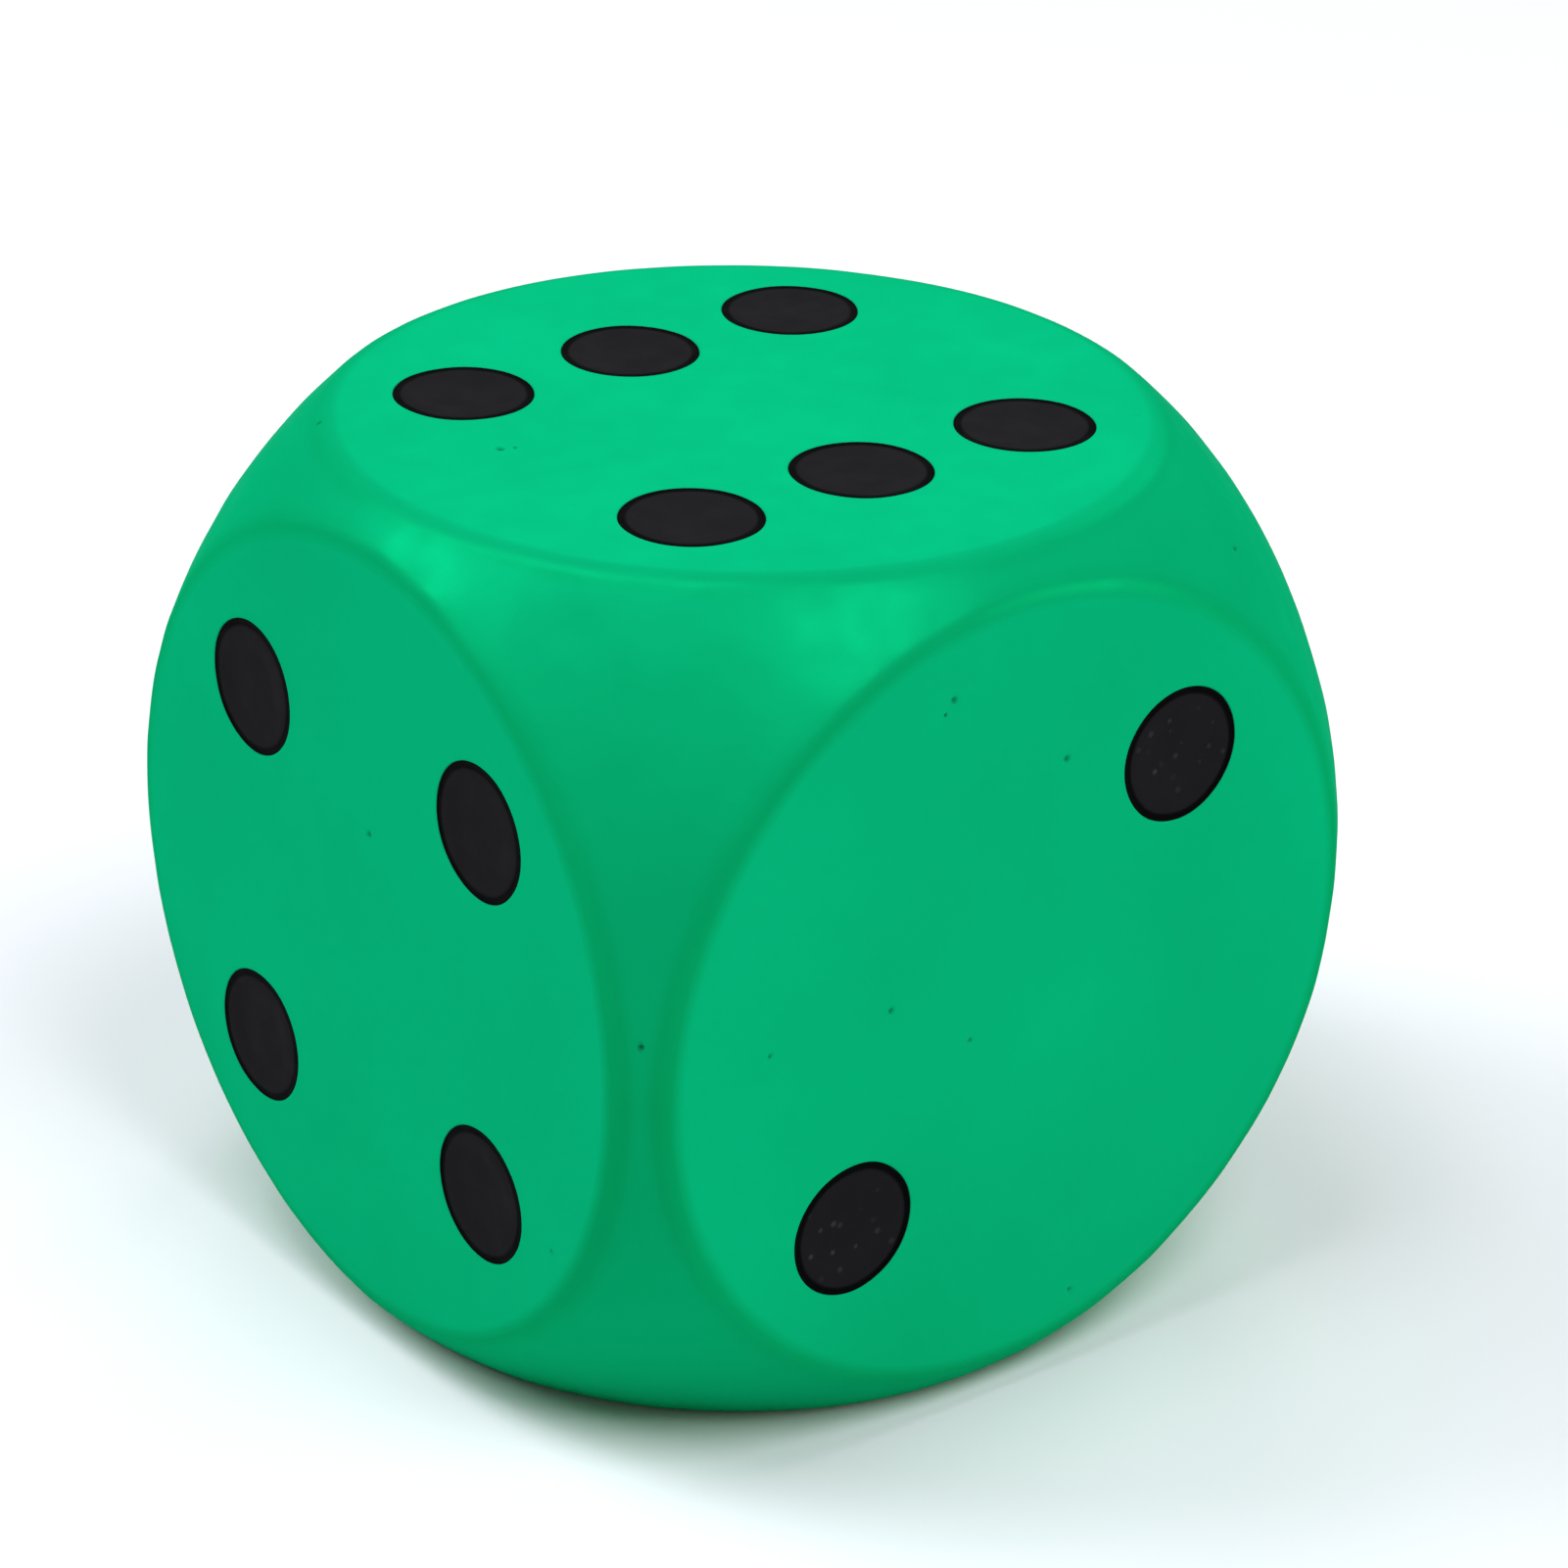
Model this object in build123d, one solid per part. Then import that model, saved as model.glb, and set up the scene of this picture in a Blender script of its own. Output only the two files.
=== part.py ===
from build123d import *
from math import cos, hypot, radians, sin, sqrt
import os

# A giant soft playing die. A foam core is moulded to the die's shape, with a shallow round dent for
# every pip. A thin green coat covers the whole core and lines the dents. Each dent then takes a black
# coat of its own, which is the pip. The die stands on its one face at z = 0, with its middle on the Z
# axis. The six is on top, the two faces the front (-Y) and the four faces the left (-X).

# ---- Driving dimensions, in millimetres and degrees ----

# The block is a cube that is turned off to a sphere, so that every face is a flat disc.
across_flats = 127.0       # from a face to the opposite face
edge_land = 8.2            # narrowest rounded strip between two neighbouring faces, rim to rim
face_rim_radius = 5.0      # rounding where a flat face rolls over into the sphere

# The green coat
skin_thickness = 1.0

# The pips
pip_radius = 9.8           # outside of the black ring that is flush with the face
pip_depth = 0.4            # from the face down to the black floor
pip_floor_thickness = 0.4
pip_wall_thickness = 0.4
pip_corner_radius = 0.3    # where the black floor turns up into the wall
pip_margin = 8.9           # from a face's rim to the nearest pip

# Direction from a face's middle to its upper right pip. The six's rows are a little close together.
pattern_angle = {"two": 45.8, "three": 45.0, "four": 44.6, "five": 45.0, "six": 43.2}

# ---- Sizes that follow from them ----

half_height = across_flats / 2
face_rim = half_height - edge_land / sqrt(2)
corner_sphere = hypot(half_height, face_rim)
pip_circle = face_rim - pip_margin - pip_radius
pip_pocket_depth = pip_depth + pip_floor_thickness


def face_plane(outward, rightward):
    """The plane of a face, seen from outside: its x points right and its y points up."""
    middle = Vector(0, 0, half_height) + Vector(*outward) * half_height
    return Plane(origin=middle, x_dir=rightward, z_dir=outward)


faces = {
    "one": face_plane((0, 0, -1), (1, 0, 0)),
    "two": face_plane((0, -1, 0), (1, 0, 0)),
    "three": face_plane((1, 0, 0), (0, 1, 0)),
    "four": face_plane((-1, 0, 0), (0, -1, 0)),
    "five": face_plane((0, 1, 0), (-1, 0, 0)),
    "six": face_plane((0, 0, 1), (1, 0, 0)),
}


def at(face, right, up):
    """The place of a pip on a face, from the face's middle, with z pointing out of the face."""
    return faces[face].location * Pos(right, up, 0)


def upper_right(face):
    """How far right and how far up the upper right pip of a face is from the face's middle."""
    angle = radians(pattern_angle[face])
    return pip_circle * cos(angle), pip_circle * sin(angle)


def pip_places():
    """Every pip's name and place. Left is -X, front is -Y."""
    places = {"pip_1_centre": at("one", 0, 0)}

    right, up = upper_right("two")
    places["pip_2_lower_left"] = at("two", -right, -up)
    places["pip_2_upper_right"] = at("two", right, up)

    right, up = upper_right("three")
    places["pip_3_lower_front"] = at("three", -right, -up)
    places["pip_3_centre"] = at("three", 0, 0)
    places["pip_3_upper_back"] = at("three", right, up)

    right, up = upper_right("four")
    for level, height in (("lower", -up), ("upper", up)):
        places[f"pip_4_{level}_back"] = at("four", -right, height)
        places[f"pip_4_{level}_front"] = at("four", right, height)

    right, up = upper_right("five")
    places["pip_5_centre"] = at("five", 0, 0)
    for level, height in (("lower", -up), ("upper", up)):
        places[f"pip_5_{level}_right"] = at("five", -right, height)
        places[f"pip_5_{level}_left"] = at("five", right, height)

    right, up = upper_right("six")
    for row, offset in (("front", -up), ("back", up)):
        places[f"pip_6_{row}_left"] = at("six", -right, offset)
        places[f"pip_6_{row}_middle"] = at("six", 0, offset)
        places[f"pip_6_{row}_right"] = at("six", right, offset)
    return places


def block(inset):
    """The die's outer shape without dents, moved in by the same distance everywhere."""
    side = across_flats - 2 * inset
    # The sphere's seam is turned to a corner of the cube, clear of every face's rim.
    ball = Rot(0, 0, 45) * Sphere(corner_sphere - inset)
    solid = Box(side, side, side) & ball
    rims = solid.faces().filter_by(GeomType.PLANE).edges()
    solid = fillet(rims, face_rim_radius - inset)
    return Pos(0, 0, half_height) * solid


def dents(lining):
    """A round plug for every pip's pocket, grown by the coat that lines it."""
    depth = pip_pocket_depth + lining
    plug = Cylinder(pip_radius + lining, depth, align=(Align.CENTER, Align.CENTER, Align.MAX))
    return [place * plug for place in pip_places().values()]


def foam_core():
    """The moulded foam that fills the die, dented under every pip."""
    return block(skin_thickness) - dents(skin_thickness)


def skin():
    """The green coat: one closed skin over the core and down into every dent."""
    return block(0) - dents(0) - foam_core()


def pip():
    """One pip's black coat, a shallow cup whose rim is flush with the face at z = 0."""
    top = (Align.CENTER, Align.CENTER, Align.MAX)
    hollow = Cylinder(pip_radius - pip_wall_thickness, pip_depth, align=top)
    hollow = fillet(hollow.edges().sort_by(Axis.Z)[0], pip_corner_radius)
    return Cylinder(pip_radius, pip_pocket_depth, align=top) - hollow


def write(node, solid):
    export_step(solid, f"parts/{node}.step")


os.makedirs("parts", exist_ok=True)
write("foam_core", foam_core())
write("skin", skin())
for name, place in pip_places().items():
    write(name, place * pip())
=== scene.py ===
import bmesh
import bpy
import math
import random
from mathutils import Matrix, Vector, geometry, noise


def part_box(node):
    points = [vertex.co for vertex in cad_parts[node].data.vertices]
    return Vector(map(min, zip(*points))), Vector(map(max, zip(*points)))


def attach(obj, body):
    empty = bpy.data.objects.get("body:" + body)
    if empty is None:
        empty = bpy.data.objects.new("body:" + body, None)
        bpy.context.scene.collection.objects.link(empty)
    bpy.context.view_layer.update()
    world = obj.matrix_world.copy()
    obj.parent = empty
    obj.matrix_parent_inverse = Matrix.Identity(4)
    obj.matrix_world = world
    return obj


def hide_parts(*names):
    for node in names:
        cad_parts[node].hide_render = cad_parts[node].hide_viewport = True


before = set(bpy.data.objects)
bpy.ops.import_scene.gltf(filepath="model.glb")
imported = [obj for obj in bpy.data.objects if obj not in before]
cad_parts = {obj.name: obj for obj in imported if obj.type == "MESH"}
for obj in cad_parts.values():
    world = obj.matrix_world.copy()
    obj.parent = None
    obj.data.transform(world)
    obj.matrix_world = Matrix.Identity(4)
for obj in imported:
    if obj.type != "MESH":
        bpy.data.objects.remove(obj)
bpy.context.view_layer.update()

# A giant soft die: a foam core, one green coat over it and a black coat in the dent of every pip.
# Everything is in metres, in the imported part's frame: +Z up, the die standing on z = 0.

MM = 0.001

# ---- The die's proportions, read from the frame ----

lowest, highest = (Vector(corner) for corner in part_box("skin"))
MIDDLE = (lowest + highest) / 2
HALF = (highest.z - lowest.z) / 2
# The radius of the sphere that turns the corners off
CORNER_SPHERE = max((v.co - MIDDLE).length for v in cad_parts["skin"].data.vertices)
SKIN_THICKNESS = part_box("foam_core")[0][2] - lowest.z
RIM_RADIUS = 5.0 * MM          # rounding where a flat face rolls over into the sphere

# Each face's own axes: right, up and outward.
FACES = {
    "1": (Vector((1, 0, 0)), Vector((0, -1, 0)), Vector((0, 0, -1))),
    "2": (Vector((1, 0, 0)), Vector((0, 0, 1)), Vector((0, -1, 0))),
    "3": (Vector((0, 1, 0)), Vector((0, 0, 1)), Vector((1, 0, 0))),
    "4": (Vector((0, -1, 0)), Vector((0, 0, 1)), Vector((-1, 0, 0))),
    "5": (Vector((-1, 0, 0)), Vector((0, 0, 1)), Vector((0, 1, 0))),
    "6": (Vector((1, 0, 0)), Vector((0, 1, 0)), Vector((0, 0, 1))),
}

OUTLINE_UNEVENNESS = 0.16 * MM # how far a pip's outline strays from round, at most
OUTLINE_LOBES = 1.3            # how quickly it strays on the way round
SEED_SPREAD = 400              # keeps one pip's outline from being like the next one's


class Pip:
    """Where one pip is on its face, and how large it is."""

    def __init__(self, node):
        self.node = node
        self.face = node.split("_")[1]
        right, up, outward = FACES[self.face]
        low, high = (Vector(corner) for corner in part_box(node))
        place = (low + high) / 2 - MIDDLE
        self.x, self.y = place.dot(right), place.dot(up)
        self.radius = abs((high - low).dot(right)) / 2
        self.depth = abs((high - low).dot(outward))

    def outline(self, angle):
        """The pip's radius in that direction: round, but a little uneven."""
        lobe = Vector((math.cos(angle), math.sin(angle), 0)) * OUTLINE_LOBES
        seed = Vector((self.x, self.y, ord(self.face) * MM)) * SEED_SPREAD
        return self.radius + OUTLINE_UNEVENNESS * noise.noise(lobe + seed)


PIPS = [Pip(name) for name in sorted(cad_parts) if name.startswith("pip_")]

# ---- The surface ----

# Points round each face's rim. With a multiple of 16, a hidden surface too has a point at each corner.
ROUND_STEPS = 224
SPHERE_STEPS = 16              # rows from the sphere's middle line to the rim's rounding
ROLL_STEPS = 10                # rows across the rim's rounding
FIELD_SPACING = 1.8 * MM       # between the points of a flat face
PIP_STEPS = 72                 # points round each pip
BALL_SHADE = 0.6              # how much painted shade the ball part gets, where 1 is at a face's rim
RIM_SHADE_LINE = 1.2 * MM           # width of the darkest painted shade outside a rim
UPRIGHT_SHADE_LOSS = 0.75             # share of the painted shade that is left off where the die faces up or down
HIDDEN_COARSENESS = 2          # how many times as far apart the points of a hidden surface are
SAME_PLACE = 0.001 * MM        # points of one surface that agree to this are made only once
WELD = 0.005 * MM              # points of a finished mesh closer together than this are one

# The moulding's waves, slow, middling and quick: how long they are, and where the last two start in
# the noise.
SLOW_WAVE, MIDDLING_WAVE, QUICK_WAVE = 34 * MM, 13 * MM, 5.5 * MM
MIDDLING_START, QUICK_START = Vector((7, 3, 5)), Vector((1, 9, 4))
ROUNDED_BY = 0.25              # the waves are highest where a normal's largest part is 1 less this


def unevenness(point, outward):
    """How far the moulded foam stands proud of its true shape there. It is calmer on the flat faces."""
    flatness = max(abs(c) for c in outward)
    rounded = min(1.0, (1.0 - flatness) / ROUNDED_BY)
    slow = noise.noise(point / SLOW_WAVE)
    middling = noise.noise(point / MIDDLING_WAVE + MIDDLING_START)
    quick = noise.noise(point / QUICK_WAVE + QUICK_START)
    calm = 0.10 * slow + 0.022 * middling
    lively = 0.12 * slow + 0.13 * middling + 0.09 * quick
    return (calm * (1 - rounded) + lively * rounded) * MM


def smooth(share):
    """A share from 0 to 1, eased at both ends."""
    return share * share * (3 - 2 * share)


class Surface:
    """Collects the points and polygons of one closed surface.

    It is moved in from the outside by inset, and its pockets for the pips are widened by lining.
    """

    def __init__(self, inset, lining):
        self.inset = inset
        self.lining = lining
        self.coarseness = HIDDEN_COARSENESS if inset > 0 else 1
        self.points, self.polygons, self.deeper = [], [], []
        self.index = {}

    def add(self, point, outward, dent=0.0, deeper=0.0):
        """A point of the undented outside, its normal, how deep it is dented, and how much painted shade its
        green gets.
        """
        proud = unevenness(point, outward) - dent - self.inset
        place = MIDDLE + point + outward * proud
        key = tuple(round(c / SAME_PLACE) for c in place)
        if key not in self.index:
            self.index[key] = len(self.points)
            self.points.append(place)
            # Painted shade is less where the die faces up or down.
            self.deeper.append(deeper * (1 - UPRIGHT_SHADE_LOSS * abs(outward.z)))
        return self.index[key]

    def polygon(self, corners):
        distinct = list(dict.fromkeys(corners))
        if len(distinct) > 2:
            self.polygons.append(distinct)

    def strip(self, outer, inner):
        """Quads between two rings of the same length, each counterclockwise seen from outside."""
        for here in range(len(outer)):
            ahead = (here + 1) % len(outer)
            self.polygon((outer[here], outer[ahead], inner[ahead], inner[here]))


def rolled_rim(surface, face):
    """One face's share of the sphere, and in over its rim to the flat disc.

    Returns the disc's radius and the ring of points round its edge.
    """
    right, up, outward = FACES[face]
    ball_reach = CORNER_SPHERE - RIM_RADIUS
    ball_height = HALF - RIM_RADIUS
    flat_radius = math.sqrt(ball_reach ** 2 - ball_height ** 2)
    rim_angle = math.atan2(flat_radius, ball_height)
    round_steps = ROUND_STEPS // surface.coarseness
    sphere_steps = SPHERE_STEPS // surface.coarseness
    roll_steps = ROLL_STEPS // surface.coarseness
    rings = []

    def across(step):
        angle = 2 * math.pi * step / round_steps
        return right * math.cos(angle) + up * math.sin(angle), angle

    for row in range(sphere_steps + 1):
        ring = []
        for step in range(round_steps):
            side, angle = across(step)
            border = math.atan(1 / max(abs(math.cos(angle)), abs(math.sin(angle))))
            lean = border + (rim_angle - border) * row / sphere_steps
            normal = outward * math.cos(lean) + side * math.sin(lean)
            from_rim = (lean - rim_angle) * CORNER_SPHERE
            # Painted shade: the ball part is darkened, most along a line just outside the rim.
            deeper = BALL_SHADE + (1 - BALL_SHADE) * math.exp(-(from_rim / RIM_SHADE_LINE) ** 2)
            ring.append(surface.add(normal * CORNER_SPHERE, normal, deeper=deeper))
        rings.append(ring)
    for row in range(1, roll_steps + 1):
        lean = rim_angle * (1 - row / roll_steps)
        ring = []
        for step in range(round_steps):
            side, _ = across(step)
            normal = outward * math.cos(lean) + side * math.sin(lean)
            roll_centre = outward * ball_height + side * flat_radius
            # Painted shade across the rounding: full over its outer half, fading to none at the flat.
            deeper = min(1.0, 2 * lean / rim_angle)
            ring.append(surface.add(roll_centre + normal * RIM_RADIUS, normal, deeper=deeper))
        rings.append(ring)
    for outer, inner in zip(rings, rings[1:]):
        surface.strip(outer, inner)
    return flat_radius, rings[-1]


# The green coat's rings round a pip: how far outside the black each is, and how deep it has rolled in.
LIP = (
    (2.9 * MM, 0.0), (1.6 * MM, 0.0), (0.8 * MM, 0.0), (0.4 * MM, 0.006 * MM), (0.2 * MM, 0.02 * MM),
    (0.09 * MM, 0.06 * MM), (0.03 * MM, 0.14 * MM), (0.0, 0.3 * MM),
)
FLOOR_RINGS = (0.0, 0.25, 0.6, 0.85)    # of a pocket's floor, as shares of the way in to its middle


def field_points(flat_radius, pips, lining, spacing):
    """An even scatter of points over the flat disc, clear of its edge and its pips."""
    points = []
    row_height = spacing * math.sqrt(3) / 2
    rows = int(flat_radius / row_height) + 1
    clearance = LIP[0][0] + lining + 0.5 * spacing
    for row in range(-rows, rows + 1):
        shift = spacing / 2 * (row % 2)
        for column in range(-rows, rows + 1):
            x, y = column * spacing + shift, row * row_height
            near_edge = math.hypot(x, y) > flat_radius - 0.8 * spacing
            near_pip = any(math.hypot(x - p.x, y - p.y) < p.radius + clearance for p in pips)
            if not (near_edge or near_pip):
                points.append((x, y))
    return points


def pip_ring(pip, beyond, steps=PIP_STEPS):
    """Points round a pip, that far outside its outline."""
    ring = []
    for step in range(steps):
        angle = 2 * math.pi * step / steps
        reach = pip.outline(angle) + beyond
        ring.append((pip.x + reach * math.cos(angle), pip.y + reach * math.sin(angle)))
    return ring


def dent(surface, face, pip, lip_ring):
    """The coat's pocket for one pip, from the ring where its lip starts down to its floor."""
    right, up, outward = FACES[face]

    def ring(beyond, depth):
        places = pip_ring(pip, beyond + surface.lining, PIP_STEPS // surface.coarseness)
        return [surface.add(outward * HALF + right * x + up * y, outward, depth) for x, y in places]

    last = lip_ring
    for beyond, depth in LIP[1:]:
        inner = ring(beyond, depth)
        surface.strip(last, inner)
        last = inner
    for share in FLOOR_RINGS:
        inner = ring(-share * pip.radius, pip.depth)
        surface.strip(last, inner)
        last = inner
    surface.polygon(last)


def flat_disc(surface, face, flat_radius, edge_ring):
    """The flat part of a face: triangles between its edge and its pips."""
    right, up, outward = FACES[face]
    pips = [pip for pip in PIPS if pip.face == face]
    places, borders = [], []

    def border(ring):
        first = len(places)
        places.extend(ring)
        count = len(ring)
        borders.extend((first + i, first + (i + 1) % count) for i in range(count))
        return range(first, first + count)

    edge = []
    for step in range(len(edge_ring)):
        angle = 2 * math.pi * step / len(edge_ring)
        edge.append((flat_radius * math.cos(angle), flat_radius * math.sin(angle)))
    border(edge)
    pip_steps = PIP_STEPS // surface.coarseness
    lips = [border(pip_ring(pip, LIP[0][0] + surface.lining, pip_steps)) for pip in pips]
    places.extend(field_points(flat_radius, pips, surface.lining, FIELD_SPACING * surface.coarseness))

    flat, _, triangles, origin, _, _ = geometry.delaunay_2d_cdt(
        [Vector(place) for place in places], borders, [], 0, SAME_PLACE)
    added = []
    came_from = {}
    for number, place in enumerate(flat):
        if origin[number] and origin[number][0] < len(edge_ring):
            added.append(edge_ring[origin[number][0]])
        else:
            base = outward * HALF + right * place.x + up * place.y
            added.append(surface.add(base, outward))
        for source in origin[number]:
            came_from[source] = added[-1]
    for triangle in triangles:
        centre = sum((flat[i] for i in triangle), Vector((0, 0))) / 3
        inside_pip = any(
            math.hypot(centre.x - pip.x, centre.y - pip.y)
            < pip.outline(math.atan2(centre.y - pip.y, centre.x - pip.x)) + LIP[0][0] + surface.lining
            for pip in pips
        )
        if not inside_pip:
            surface.polygon([added[i] for i in triangle])
    for pip, lip in zip(pips, lips):
        dent(surface, face, pip, [came_from[i] for i in lip])


def die_surface(inset, lining):
    """The whole die's surface, moved in by inset, with every pip's pocket widened by its lining."""
    surface = Surface(inset, lining)
    for face in FACES:
        flat_radius, edge_ring = rolled_rim(surface, face)
        flat_disc(surface, face, flat_radius, edge_ring)
    return surface


# ---- Pinholes, where a bubble has burst in the coat ----

PINHOLE_RADIUS = 0.7 * MM
PINHOLE_DEPTH = 0.4 * MM
PINHOLE_PATCH = 3.2            # how far round a pinhole the mesh is made finer, in its radii
HOLES_PER_FACE = 4             # on each face that the photo doesn't show
HOLES_WITHIN = 50              # millimetres from such a face's middle
CLEAR_OF_PIPS = 4 * MM
SEEN_PINHOLES = (              # in millimetres from the die's middle, and each one's share of full size
    (-35.8, 7.0, 63.5, 1.0), (-33.9, 6.2, 63.5, 0.6), (43.2, -32.9, 63.5, 0.6), (-49.9, 30.6, 62.7, 0.9),
    (-12.8, -63.5, 46.7, 1.0), (-14.2, -63.5, 44.9, 0.6), (7.0, -63.5, 32.8, 1.0), (-21.8, -63.5, 3.7, 0.9),
    (-8.0, -63.5, -5.0, 0.7), (-41.8, -63.5, 3.2, 0.7), (12.0, -63.5, -51.1, 0.7),
    (-63.5, -1.6, 16.5, 0.9), (-63.5, -44.7, -28.1, 0.6),
    (-60.4, -60.3, 8.9, 1.0), (44.3, -53.4, 50.5, 0.8),
)


def pinholes():
    """The ones that show in the photo, and a few at random on each face that it doesn't show."""
    holes = [(Vector(hole[:3]) * MM, hole[3]) for hole in SEEN_PINHOLES]
    dice = random.Random(21)
    for face in ("1", "3", "5"):
        right, up, outward = FACES[face]
        found = 0
        while found < HOLES_PER_FACE:
            x, y = (dice.uniform(-HOLES_WITHIN, HOLES_WITHIN) * MM for _ in range(2))
            clear = all(
                math.hypot(x - pip.x, y - pip.y) > pip.radius + CLEAR_OF_PIPS
                for pip in PIPS if pip.face == face
            )
            if clear and math.hypot(x, y) < HOLES_WITHIN * MM:
                holes.append((outward * HALF + right * x + up * y, dice.uniform(0.6, 1.0)))
                found += 1
    return holes


def prick(shape, hole, size, pit):
    """One pinhole: a finer mesh round that place, drawn in to a small pit."""
    centre = MIDDLE + hole
    near = [v for v in shape.verts if (v.co - centre).length < PINHOLE_PATCH * PINHOLE_RADIUS]
    inward = -min(near, key=lambda v: (v.co - centre).length_squared).normal
    edges = {edge for v in near for edge in v.link_edges}
    bmesh.ops.subdivide_edges(shape, edges=list(edges), cuts=3, use_grid_fill=True)
    for v in shape.verts:
        aside = v.co - centre
        across = aside - inward * aside.dot(inward)
        share = across.length / (PINHOLE_RADIUS * size)
        if share < 1 and aside.length < 2 * PINHOLE_RADIUS:
            v[pit] = 1 - smooth(share)
            v.co += inward * PINHOLE_DEPTH * size * v[pit]


def coat_mesh():
    """The green coat: its outside with the pinholes, and its inside against the foam."""
    outside = die_surface(0.0, 0.0)
    mesh = bpy.data.meshes.new("green_skin")
    mesh.from_pydata(outside.points, [], outside.polygons)
    shape = bmesh.new()
    shape.from_mesh(mesh)
    shape.normal_update()
    # Each pinhole's share of depth, also used for the painted shade inside it.
    pit = shape.verts.layers.float.new("pit")
    # Painted shade on the rounded parts and along the rims, carried to the green coat's colour.
    deeper = shape.verts.layers.float.new("deeper")
    for vertex, value in zip(shape.verts, outside.deeper):
        vertex[deeper] = value
    bmesh.ops.remove_doubles(shape, verts=shape.verts, dist=WELD)
    for hole, size in pinholes():
        prick(shape, hole, size, pit)
    inside = die_surface(SKIN_THICKNESS, SKIN_THICKNESS)
    inner = [shape.verts.new(point) for point in inside.points]
    for polygon in inside.polygons:
        shape.faces.new([inner[i] for i in reversed(polygon)])
    bmesh.ops.remove_doubles(shape, verts=inner, dist=WELD)
    for polygon in shape.faces:
        polygon.smooth = True
    shape.to_mesh(mesh)
    shape.free()
    return mesh


def foam_mesh():
    """The core's outside, which meets the green coat's inside."""
    outside = die_surface(SKIN_THICKNESS, SKIN_THICKNESS)
    mesh = bpy.data.meshes.new("moulded_foam")
    mesh.from_pydata(outside.points, [], outside.polygons)
    shape = bmesh.new()
    shape.from_mesh(mesh)
    bmesh.ops.remove_doubles(shape, verts=shape.verts, dist=WELD)
    shape.to_mesh(mesh)
    shape.free()
    mesh.polygons.foreach_set("use_smooth", [True] * len(mesh.polygons))
    return mesh


def piece(name, mesh, material, *nodes):
    """A visible piece that stands for those CAD nodes."""
    made = bpy.data.objects.new(name, mesh)
    bpy.context.scene.collection.objects.link(made)
    mesh.materials.append(material)
    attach(made, "root")
    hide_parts(*nodes)
    return made


# ---- Materials ----


class Material:
    """A Principled material, and short ways to add the nodes that vary it over the surface."""

    def __init__(self, name):
        self.material = bpy.data.materials.new(name)
        self.material.use_nodes = True
        self.nodes = self.material.node_tree.nodes
        self.links = self.material.node_tree.links
        self.shader = self.nodes["Principled BSDF"]
        self.place = self.nodes.new("ShaderNodeTexCoord").outputs["Object"]

    def set(self, **sockets):
        for name, value in sockets.items():
            self.shader.inputs[name.replace("_", " ")].default_value = value

    def link(self, output, socket):
        self.links.new(output, self.shader.inputs[socket])

    def noise(self, wavelength, detail=2):
        node = self.nodes.new("ShaderNodeTexNoise")
        node.inputs["Scale"].default_value = 1 / wavelength
        node.inputs["Detail"].default_value = detail
        self.links.new(self.place, node.inputs["Vector"])
        return node.outputs["Fac"]

    def attribute(self, name):
        node = self.nodes.new("ShaderNodeAttribute")
        node.attribute_name = name
        return node.outputs["Fac"]

    def between(self, value, low, high, start=0.0, end=1.0):
        """The value, taken from start..end to low..high."""
        node = self.nodes.new("ShaderNodeMapRange")
        node.inputs["From Min"].default_value = start
        node.inputs["From Max"].default_value = end
        node.inputs["To Min"].default_value = low
        node.inputs["To Max"].default_value = high
        self.links.new(value, node.inputs["Value"])
        return node.outputs["Result"]

    def colours(self, value, low, high, start=0.3, end=0.7):
        """One colour where the value is low, passing to the other where it is high."""
        node = self.nodes.new("ShaderNodeValToRGB")
        for element, position, colour in zip(node.color_ramp.elements, (start, end), (low, high)):
            element.position = position
            element.color = (*colour, 1)
        self.links.new(value, node.inputs["Fac"])
        return node.outputs["Color"]

    def mix(self, share, first, second):
        """From the first colour to the second, by that share."""
        node = self.nodes.new("ShaderNodeMix")
        node.data_type = "RGBA"
        self.links.new(share, node.inputs["Factor"])
        self.links.new(first, node.inputs["A"])
        if isinstance(second, tuple):
            node.inputs["B"].default_value = (*second, 1)
        else:
            self.links.new(second, node.inputs["B"])
        return node.outputs["Result"]

    def product(self, first, second):
        node = self.nodes.new("ShaderNodeMath")
        node.operation = "MULTIPLY"
        self.links.new(first, node.inputs[0])
        self.links.new(second, node.inputs[1])
        return node.outputs["Value"]

    def bump(self, value, height, strength=1.0):
        node = self.nodes.new("ShaderNodeBump")
        node.inputs["Strength"].default_value = strength
        node.inputs["Distance"].default_value = height
        self.links.new(value, node.inputs["Height"])
        self.link(node.outputs["Normal"], "Normal")


def green_coat():
    """A satin coat, with painted shade on its rounded parts, along its rims and in its pinholes. Its gloss
    is green too, which a small metallic share gives.
    """
    coat = Material("green_coat")
    green = coat.colours(coat.noise(36 * MM, 3), (0.0016, 0.388, 0.150), (0.0016, 0.420, 0.166))
    # Painted shade: the green is darkened on the ball parts and along the rims, less where they face up or
    # down.
    green = coat.mix(coat.attribute("deeper"), green, (0.0012, 0.325, 0.102))
    # Painted shade in each pinhole: the green is darkened to near black there.
    coat.link(coat.mix(coat.attribute("pit"), green, (0.001, 0.10, 0.045)), "Base Color")
    coat.link(coat.between(coat.noise(6 * MM, 1), 0.29, 0.45, 0.2, 0.8), "Roughness")
    coat.bump(coat.noise(1.4 * MM), 0.1 * MM, 0.12)
    coat.set(Metallic=0.13, Specular_IOR_Level=0.0, Specular_Tint=(0.1, 1.0, 0.8, 1))
    return coat.material


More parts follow.
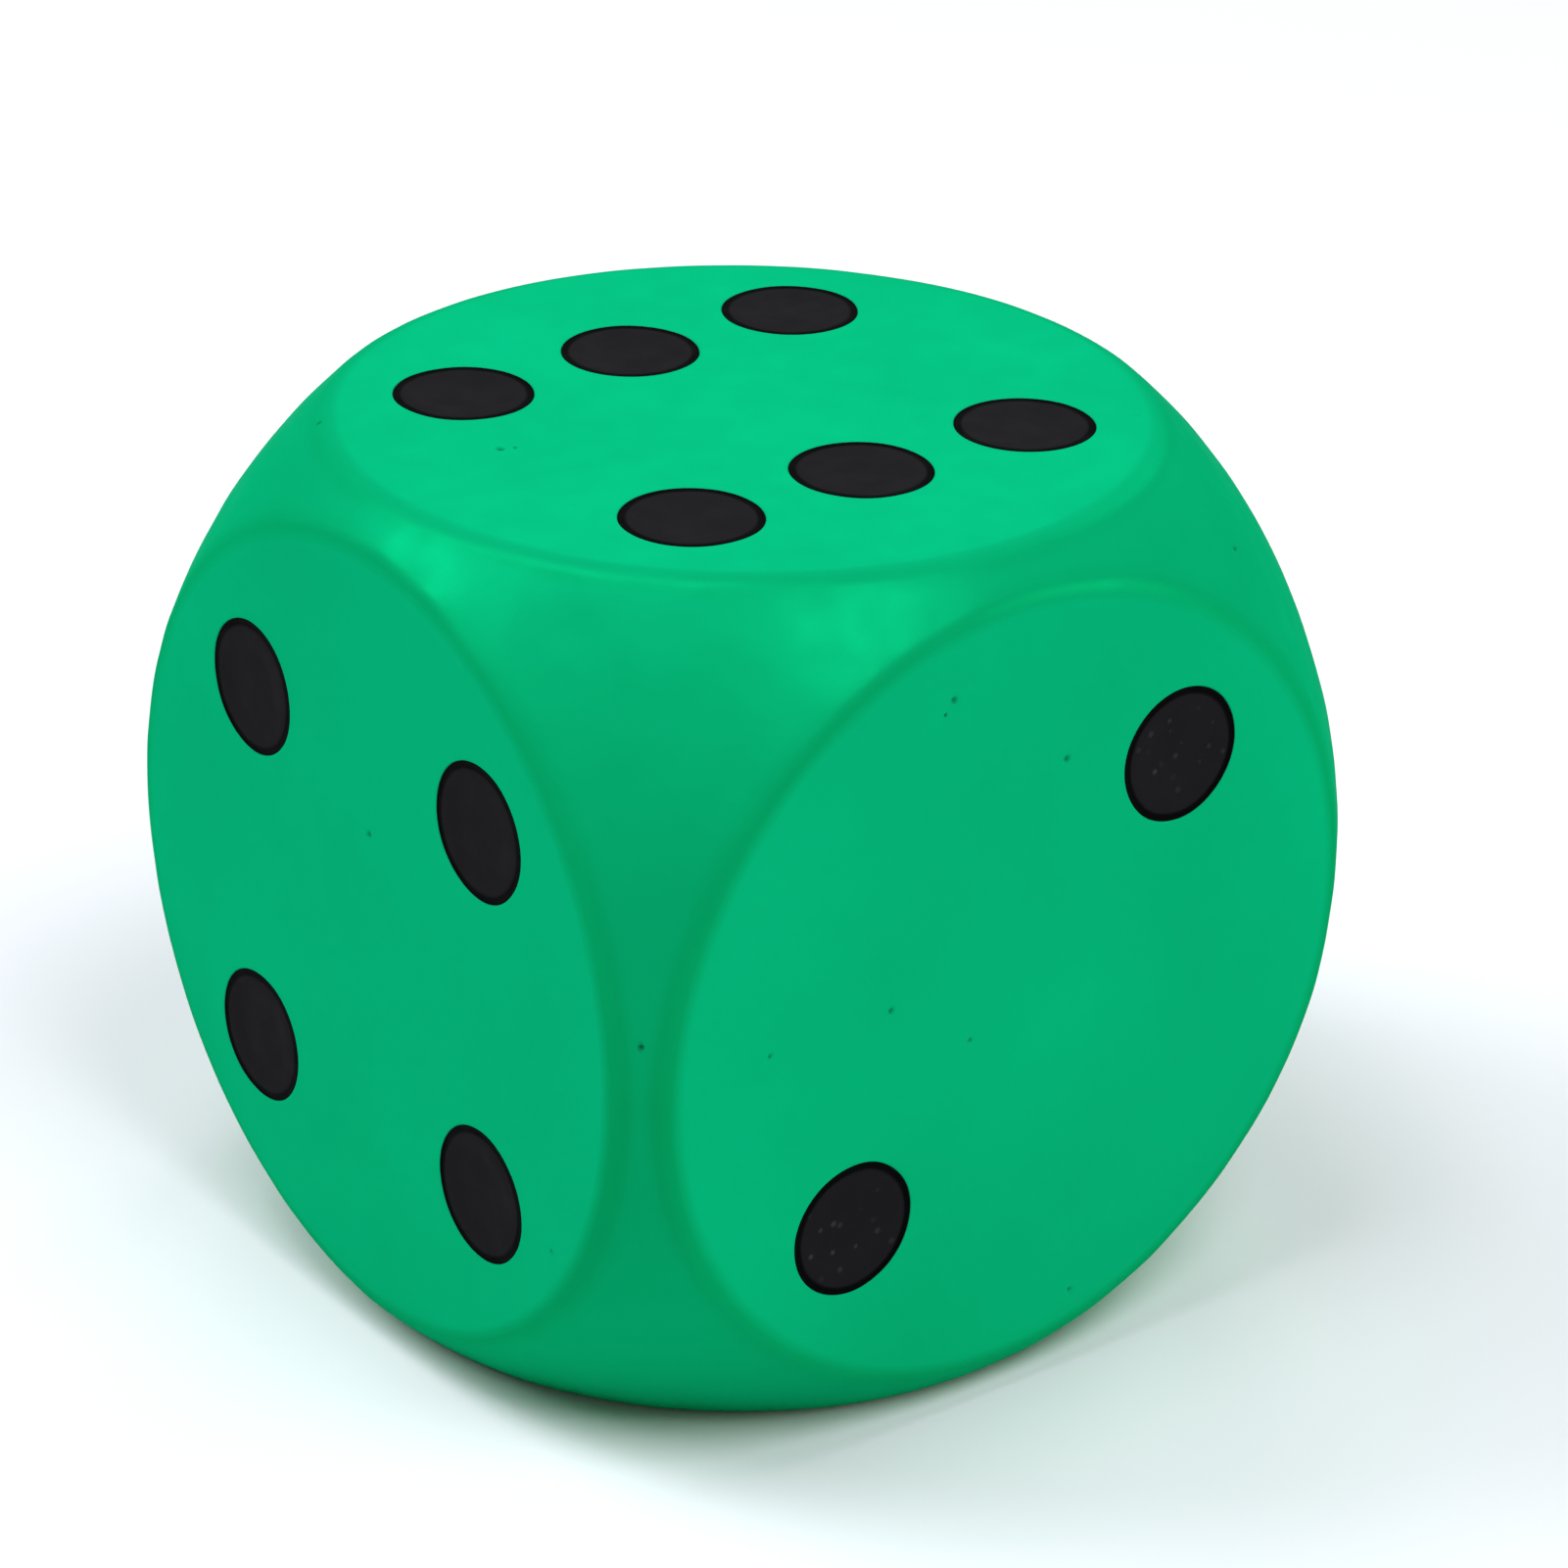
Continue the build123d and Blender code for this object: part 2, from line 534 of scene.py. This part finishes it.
def black_coat():
    """The pips: dusty charcoal on the floor, with pale specks on some, and a blacker ledge, partly a darker
    paint edge and partly painted shade.
    """
    coat = Material("black_coat")
    floor = coat.colours(coat.noise(5 * MM, 3), (0.0090, 0.0082, 0.0091), (0.0100, 0.0092, 0.0102))
    grains = coat.nodes.new("ShaderNodeTexVoronoi")
    grains.inputs["Scale"].default_value = 1 / (2.0 * MM)
    coat.links.new(coat.place, grains.inputs["Vector"])
    near_a_grain = coat.between(grains.outputs["Distance"], 1.0, 0.0, 0.14, 0.30)
    large_enough = coat.between(grains.outputs["Color"], 0.0, 1.0, 0.4, 0.75)
    specks = coat.product(coat.product(near_a_grain, large_enough), coat.attribute("dusty"))
    floor = coat.mix(specks, floor, (0.052, 0.052, 0.053))
    # The ledge inside each pip's outline is darkened almost to no colour: partly a darker paint edge, partly
    # painted shade at the dent's edge.
    coat.link(coat.mix(coat.attribute("rim"), floor, (0.0006, 0.0006, 0.0009)), "Base Color")
    coat.link(coat.between(coat.noise(4 * MM, 1), 0.62, 0.72, 0.3, 0.7), "Roughness")
    coat.bump(coat.noise(0.9 * MM), 0.1 * MM, 0.2)
    coat.set(Specular_IOR_Level=0.02)
    return coat.material


def foam():
    """The core's open cells, which show only when the die is opened."""
    block = Material("foam")
    cells = block.nodes.new("ShaderNodeTexVoronoi")
    cells.inputs["Scale"].default_value = 1 / (0.9 * MM)
    block.links.new(block.place, cells.inputs["Vector"])
    # Painted shade: each cell is darker towards its middle, the hollow of an open cell.
    colour = block.colours(cells.outputs["Distance"], (0.20, 0.44, 0.31), (0.36, 0.67, 0.50))
    block.link(colour, "Base Color")
    block.bump(cells.outputs["Distance"], 0.4 * MM)
    block.set(Roughness=0.95, Specular_IOR_Level=0.1)
    return block.material


# ---- The pieces ----

BLACK_THICKNESS = 0.4 * MM
LIP_IN = 0.04 * MM             # how far inside the outline a pip's black lip is, and how deep
LIP_DOWN = 0.03 * MM
LEDGE_DEPTH = 0.12 * MM        # of the ledge that runs round inside a pip's outline, darkened partly as a paint edge and partly as painted shade
LEDGE_FALL = 0.4 * MM          # width of the slope down to the ledge
FALL_ROWS = 5
# Across the ledge: millimetres inside the outline, and the share of the ledge's darkening, partly a darker
# paint edge and partly painted shade.
LEDGE_ROWS = ((0.8, 1.0), (0.9, 0.9), (1.05, 0.5), (1.2, 0.1), (1.4, 0.0))
LEDGE_END = 1.4 * MM
DISH = 4.0 * MM                # width over which the floor falls from the ledge to its full depth
DISH_ROWS = 8
FLOOR_IN = 7.8 * MM            # the last ring of the level floor
RIPPLE = 0.015 * MM            # height of the floor's ripples
RIPPLE_WAVE = 3.5 * MM


def cup_profile(depth):
    """How far inside the outline each ring of a pip's black coat is, how deep, and its share of ledge, which
    sets the ledge's darkening, partly painted shade.
    """
    floor = depth - BLACK_THICKNESS
    profile = [(0.02 * MM, depth - 0.02 * MM, 1.0), (0.02 * MM, 0.6 * depth, 1.0)]
    profile += [(0.01 * MM, 0.2 * MM, 1.0), (0.01 * MM, 0.08 * MM, 1.0), (LIP_IN, LIP_DOWN, 1.0)]
    for step in range(1, FALL_ROWS + 1):
        inward = LIP_IN + LEDGE_FALL * step / FALL_ROWS
        fall = smooth(step / FALL_ROWS)
        profile.append((inward, LIP_DOWN + (LEDGE_DEPTH - LIP_DOWN) * fall, 1.0))
    for inward, ledge in LEDGE_ROWS:
        profile.append((inward * MM, LEDGE_DEPTH, ledge))
    for step in range(1, DISH_ROWS + 1):
        inward = LEDGE_END + DISH * step / DISH_ROWS
        fall = smooth(step / DISH_ROWS)
        profile.append((inward, LEDGE_DEPTH + (floor - LEDGE_DEPTH) * fall, 0.0))
    profile.append((FLOOR_IN, floor, 0.0))
    return profile


def pip_cup(pip, material):
    """One pip's black coat: a shallow cup whose lip lies just under the face at the pip's outline."""
    right, up, outward = FACES[pip.face]
    profile = cup_profile(pip.depth)
    points, polygons, edge_paint_and_shade = [], [], []
    for inward, depth, ledge in profile:
        for x, y in pip_ring(pip, -inward):
            base = outward * HALF + right * x + up * y
            ripple = RIPPLE * noise.noise(base / RIPPLE_WAVE) * (1 - ledge)
            points.append(MIDDLE + base + outward * (unevenness(base, outward) + ripple - depth))
            edge_paint_and_shade.append(ledge)
    for row in range(len(profile) - 1):
        for step in range(PIP_STEPS):
            ahead = (step + 1) % PIP_STEPS
            low, high = row * PIP_STEPS, (row + 1) * PIP_STEPS
            polygons.append((low + step, low + ahead, high + ahead, high + step))
    last = (len(profile) - 1) * PIP_STEPS
    polygons.append(tuple(range(last, last + PIP_STEPS)))
    polygons.append(tuple(reversed(range(PIP_STEPS))))
    mesh = bpy.data.meshes.new(pip.node + "_coat")
    mesh.from_pydata(points, [], polygons)
    mesh.update()
    dusty = 1.0 if pip.face == "2" else 0.0
    # The "rim" attribute carries the ledge's darkening, partly a darker paint edge and partly painted shade.
    for attribute, values in (("rim", edge_paint_and_shade), ("dusty", [dusty] * len(edge_paint_and_shade))):
        mesh.attributes.new(attribute, "FLOAT", "POINT").data.foreach_set("value", values)
    mesh.polygons.foreach_set("use_smooth", [True] * len(mesh.polygons))
    made = piece(pip.node + "_coat", mesh, material, pip.node)


skin = piece("green_skin", coat_mesh(), green_coat(), "skin")
black = black_coat()
for pip in PIPS:
    pip_cup(pip, black)
core = piece("moulded_foam", foam_mesh(), foam(), "foam_core")

# ---- The camera ----

CAMERA_TURN = math.radians(-37.172)     # round the die from straight in front, towards its left
CAMERA_RISE = math.radians(26.283)
CAMERA_ROLL = math.radians(0.9645)
CAMERA_REACH = 12.148 * HALF            # from the die's middle
CAMERA_ASIDE = 0.0079 * HALF
CAMERA_UP = -0.0051 * HALF
LENS = 123.5                            # millimetres
SENSOR_WIDTH = 36                       # millimetres
LENS_SHIFT_ASIDE, LENS_SHIFT_UP = 0.0284, 0.0247


def studio_camera():
    """A camera that sees the die as the photo does."""
    back = Vector((
        math.sin(CAMERA_TURN) * math.cos(CAMERA_RISE),
        -math.cos(CAMERA_TURN) * math.cos(CAMERA_RISE),
        math.sin(CAMERA_RISE),
    ))
    right = (-back).cross(Vector((0, 0, 1))).normalized()
    up = right.cross(-back)
    place = MIDDLE + back * CAMERA_REACH + right * CAMERA_ASIDE + up * CAMERA_UP
    rolled_right = right * math.cos(CAMERA_ROLL) + up * math.sin(CAMERA_ROLL)
    rolled_up = up * math.cos(CAMERA_ROLL) - right * math.sin(CAMERA_ROLL)
    data = bpy.data.cameras.new("camera")
    data.lens = LENS
    data.sensor_width = SENSOR_WIDTH
    data.shift_x = LENS_SHIFT_ASIDE
    data.shift_y = LENS_SHIFT_UP
    camera = bpy.data.objects.new("camera", data)
    turn = Matrix((rolled_right, rolled_up, back)).transposed()
    camera.matrix_world = Matrix.Translation(place) @ turn.to_4x4()
    bpy.context.scene.collection.objects.link(camera)
    bpy.context.scene.camera = camera


studio_camera()

# ---- The studio ----

COOL, PLAIN, WARM = (0.97, 1.0, 1.09), (1.0, 1.0, 1.0), (1.0, 0.99, 0.93)
SOFTBOX_REACH = 2.2            # metres from the die's middle
SOFTBOXES = (                  # name, degrees round from straight in front, up, watts, metres across, colour
    ("back_left_key", -134, 39, 21.3, 1.1, COOL),
    ("high_back_left_key", -135, 60, 7.5, 0.85, COOL),
    ("front_key", 2, 56, 25.5, 1.15, COOL),
    ("low_right_fill", 45, 13, 11.4, 0.85, WARM),
    ("back_fill", 142, 28, 4.1, 0.85, PLAIN),
    ("right_fill", 105, 30, 5.1, 0.85, PLAIN),
    ("top_fill", -90, 75, 11.9, 0.85, COOL),
)
FLOOR_REACH = 4.0              # metres from the middle of the floor to its sides
AMBIENT = 0.17                 # strength of the even light from all round


def softbox(name, turn, rise, power, size, colour):
    """A round lamp that faces the die."""
    turn, rise = math.radians(turn), math.radians(rise)
    back = Vector((math.sin(turn) * math.cos(rise), -math.cos(turn) * math.cos(rise), math.sin(rise)))
    data = bpy.data.lights.new(name, "AREA")
    data.shape = "DISK"
    data.size = size
    data.energy = power
    data.color = colour
    light = bpy.data.objects.new(name, data)
    light.location = MIDDLE + back * SOFTBOX_REACH
    light.rotation_mode = "QUATERNION"
    light.rotation_quaternion = (-back).to_track_quat("-Z", "Y")
    bpy.context.scene.collection.objects.link(light)


def studio_floor():
    """The pale floor that the die stands on."""
    mesh = bpy.data.meshes.new("studio_floor")
    sides = ((-1, -1), (1, -1), (1, 1), (-1, 1))
    corners = [(x * FLOOR_REACH, y * FLOOR_REACH, 0) for x, y in sides]
    mesh.from_pydata(corners, [], [(0, 1, 2, 3)])
    made = bpy.data.objects.new("studio_floor", mesh)
    paper = Material("studio_floor")
    paper.set(Base_Color=(0.86, 0.86, 0.86, 1), Roughness=0.9)
    mesh.materials.append(paper.material)
    bpy.context.scene.collection.objects.link(made)


studio_floor()
for box in SOFTBOXES:
    softbox(*box)
world = bpy.data.worlds.new("studio")
world.use_nodes = True
world.node_tree.nodes["Background"].inputs["Color"].default_value = (1, 1, 1, 1)
world.node_tree.nodes["Background"].inputs["Strength"].default_value = AMBIENT
bpy.context.scene.world = world
bpy.context.scene.view_settings.view_transform = "Standard"
